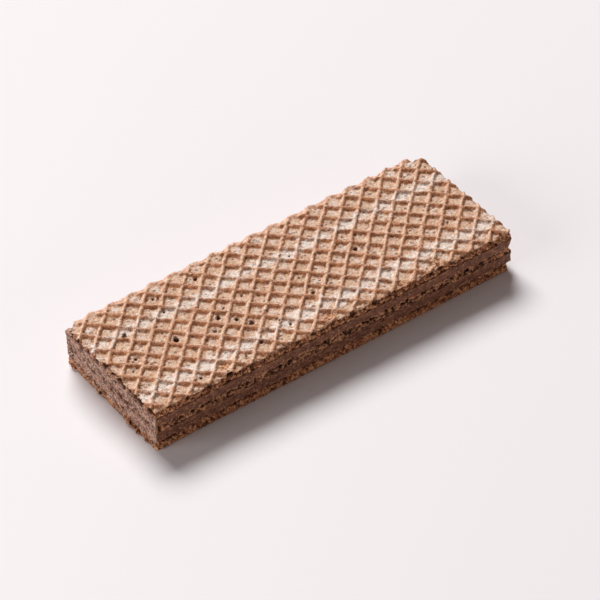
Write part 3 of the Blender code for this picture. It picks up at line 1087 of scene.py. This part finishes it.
def topWafer():
    look = topLook
    insets = leftInset, rightInset, nearInset, farInset
    bm, layers, origins = sheetGrid(look["step"], insets)
    for vertex, origin in origins.items():
        vertex.co.z, marks = topSurface(*vertex.co.xy, edgeDistance(origin))
        mark(vertex, layers, **marks)
    ring = boundaryRing(bm)
    plans = [vertex.co.xy.copy() for vertex in ring]
    unworn = [lambda place, inset=inset: inset(place, 0.0) for inset in insets]
    feet = [Vector(warped(*origins[vertex], unworn)) for vertex in ring]
    normals = ringNormals(ring)
    rims = {tuple(plan): vertex.co.z for plan, vertex in zip(plans, ring)}
    ring = addSides(bm, layers, ring, plans, normals, lambda plan: rims[tuple(plan)],
                    lambda plan: seamHeight(creamUpperTop, plan.x, plan.y), look["rows"],
                    crustSide, feet=feet)
    closeLayer(bm, layers, ring, feet, normals, creamUpperTop)
    finishPiece(bm, "topWafer", crust, ("wafer_top",))


def bottomEdge(seed, inset):
    return lambda place: inset + bottomLook["edgeRoughness"] * rough(place, seed, 0, 0.9, 3.5)


def bottomWafer():
    look = bottomLook
    edges = [bottomEdge(seed, inset) for seed, inset in enumerate(look["edgeInsets"], 1)]
    bm, layers, origins = sheetGrid(look["step"], edges)
    ring = boundaryRing(bm)
    plans = [vertex.co.xy.copy() for vertex in ring]
    normals = ringNormals(ring)
    for vertex, origin in origins.items():
        x, y = vertex.co.xy
        height, ridge, _ = latticeRelief(x, y, look["crossing"], 4.0)
        margin = edgeDistance(origin)
        edge = ease(look["edgeReach"], 0.0, margin)
        fill = look["edgeFill"] * ease(1.3, 0.3, margin + 0.6 * rough(x, y, 0, 1.2, 4.0))
        z = (lattice["relief"] - height) * (1 - fill)
        z += look["faceRoughness"] * rough(x, y, 0, 0.8, 6.0)
        z += look["edgeDrop"] * edge * (1 + rough(x, y, 0, 0.8, 2.0))
        vertex.co = (x - ends["bottomSetBack"] * rightShare(x), y, max(0.0, z))
        mark(vertex, layers, ridge=ridge, torn=edge)
    rims = {tuple(plan): vertex.co.z for plan, vertex in zip(plans, ring)}

    def side(plan, normal, z, share):
        inset, marks = crustSide(plan, normal, z, 1 - share)
        inset -= look["nearFoot"] * ease(1.5, 0.4, z) * ease(0.3, 0.8, -normal.y)
        return inset, marks

    ring = addSides(bm, layers, ring, plans, normals, lambda plan: rims[tuple(plan)],
                    lambda plan: seamHeight(sheetBottomTop, plan.x, plan.y), look["rows"], side,
                    ends["bottomSetBack"])
    closeLayer(bm, layers, ring, plans, normals, sheetBottomTop, ends["bottomSetBack"])
    finishPiece(bm, "bottomWafer", crust, ("wafer_bottom",))


topWafer()
bottomWafer()

# lump of cream at the far left corner, and crumbs at the foot of the left end
lumpLook = {
    "detail": 4,
    "bumps": 0.28,
    # middle and radii
    "cornerCream": [((-44.0, 14.9, 8.3), (0.95, 1.4, 1.05))],
    "footCrumbs": [
        ((-44.95, -6.5, 0.62), (0.50, 0.62, 0.58)), ((-44.95, -9.6, 0.55), (0.45, 0.52, 0.52)),
        ((-44.9, -7.9, 0.35), (0.35, 0.60, 0.32)), ((-44.85, 13.9, 0.45), (0.42, 0.85, 0.24)),
        ((-44.9, -12.6, 0.35), (0.3, 0.5, 0.3)), ((-44.9, 4.2, 0.4), (0.28, 0.5, 0.35)),
    ],
}


def lumps(name, material, slot, **marks):
    bm = bmesh.new()
    layers = newLayers(bm)
    for middle, radii in lumpLook[name]:
        matrix = Matrix.Translation(middle) @ Matrix.Diagonal((*radii, 1.0))
        made = bmesh.ops.create_icosphere(bm, subdivisions=lumpLook["detail"], radius=1.0)["verts"]
        for vertex in made:
            x, y, z = vertex.co + Vector(middle)
            bumps = rough(x, y, z, 0.9, 1.0) + 0.5 * rough(x, y, z, 0.35, 3.0)
            swell = 1 + lumpLook["bumps"] * bumps
            vertex.co = matrix @ (vertex.co * swell)
            vertex.co.z = max(0.0, vertex.co.z)
            mark(vertex, layers, **marks)
    finishPiece(bm, name, material)


lumps("cornerCream", cream, "cocoa_cream", smear=0.8)
lumps("footCrumbs", crumb, "wafer_crust")

stageLook = {
    "floorHalfSize": 2.0,
    "floorColour": paint(246, 243, 246),
    "lights": [     # name, direction towards it, distance, width, height, power and colour
        ("key", (0.28, 0.96, 0.92), 3.4, 2.12, 1.49, 143.0, (1.0, 0.985, 0.98)),
        ("fill", (-1.0, 0.12, 0.40), 0.6, 0.5, 0.4, 1.42, (1.0, 0.975, 0.97)),
        ("nearFill", (0.25, -1.0, 0.20), 1.2, 0.6, 0.4, 1.1, (1.0, 0.89, 0.80)),
    ],
    "skyColour": (1.0, 0.74, 0.62),
    "skyStrength": 0.062,
}

viewpoint = {       # aim and distance in millimetres, angles in degrees
    "aim": (0.4495, -2.0218, 5.1),
    "distance": 643.29,
    "azimuth": -34.930,
    "elevation": 42.063,
    "roll": -1.637,
    "lens": 188.81,
    "sensor": 36.0,
}


def makeFloor():
    bm = bmesh.new()
    bmesh.ops.create_grid(bm, x_segments=1, y_segments=1, size=stageLook["floorHalfSize"])
    mesh = bpy.data.meshes.new("floor")
    bm.to_mesh(mesh)
    bm.free()
    make = Finish("floor paint")
    make.shader.inputs["Base Color"].default_value = stageLook["floorColour"]
    make.shader.inputs["Roughness"].default_value = 0.9
    make.shader.inputs["Specular IOR Level"].default_value = 0.1
    mesh.materials.append(make.material)
    floor = bpy.data.objects.new("floor", mesh)
    bpy.context.scene.collection.objects.link(floor)


def makeLights():
    for name, direction, distance, width, height, power, colour in stageLook["lights"]:
        towards = Vector(direction).normalized()
        light = bpy.data.lights.new(name, "AREA")
        light.shape = "ELLIPSE"
        light.size = width
        light.size_y = height
        light.energy = power
        light.color = colour
        lamp = bpy.data.objects.new(name, light)
        lamp.location = towards * distance
        lamp.rotation_euler = towards.to_track_quat("Z", "Y").to_euler()
        bpy.context.scene.collection.objects.link(lamp)
    world = bpy.data.worlds.new("sky")
    world.use_nodes = True
    sky = world.node_tree.nodes["Background"]
    sky.inputs["Color"].default_value = (*stageLook["skyColour"], 1.0)
    sky.inputs["Strength"].default_value = stageLook["skyStrength"]
    bpy.context.scene.world = world


def makeCamera():
    azimuth = math.radians(viewpoint["azimuth"])
    elevation = math.radians(viewpoint["elevation"])
    roll = math.radians(viewpoint["roll"])
    forward = Vector((-math.sin(azimuth) * math.cos(elevation),
                      math.cos(azimuth) * math.cos(elevation), -math.sin(elevation)))
    right = Vector((math.cos(azimuth), math.sin(azimuth), 0.0))
    up = right.cross(forward)
    turnedRight = right * math.cos(roll) + up * math.sin(roll)
    turnedUp = up * math.cos(roll) - right * math.sin(roll)
    lens = bpy.data.cameras.new("camera")
    lens.lens = viewpoint["lens"]
    lens.sensor_width = viewpoint["sensor"]
    lens.clip_start = 0.01
    lens.clip_end = 20.0
    camera = bpy.data.objects.new("camera", lens)
    turn = Matrix((turnedRight, turnedUp, -forward)).transposed().to_4x4()
    place = (Vector(viewpoint["aim"]) - forward * viewpoint["distance"]) / mmInMetre
    camera.matrix_world = Matrix.Translation(place) @ turn
    bpy.context.scene.collection.objects.link(camera)
    bpy.context.scene.camera = camera


makeFloor()
makeLights()
makeCamera()
bpy.context.scene.view_settings.view_transform = "Standard"
print("stage, light and camera made")
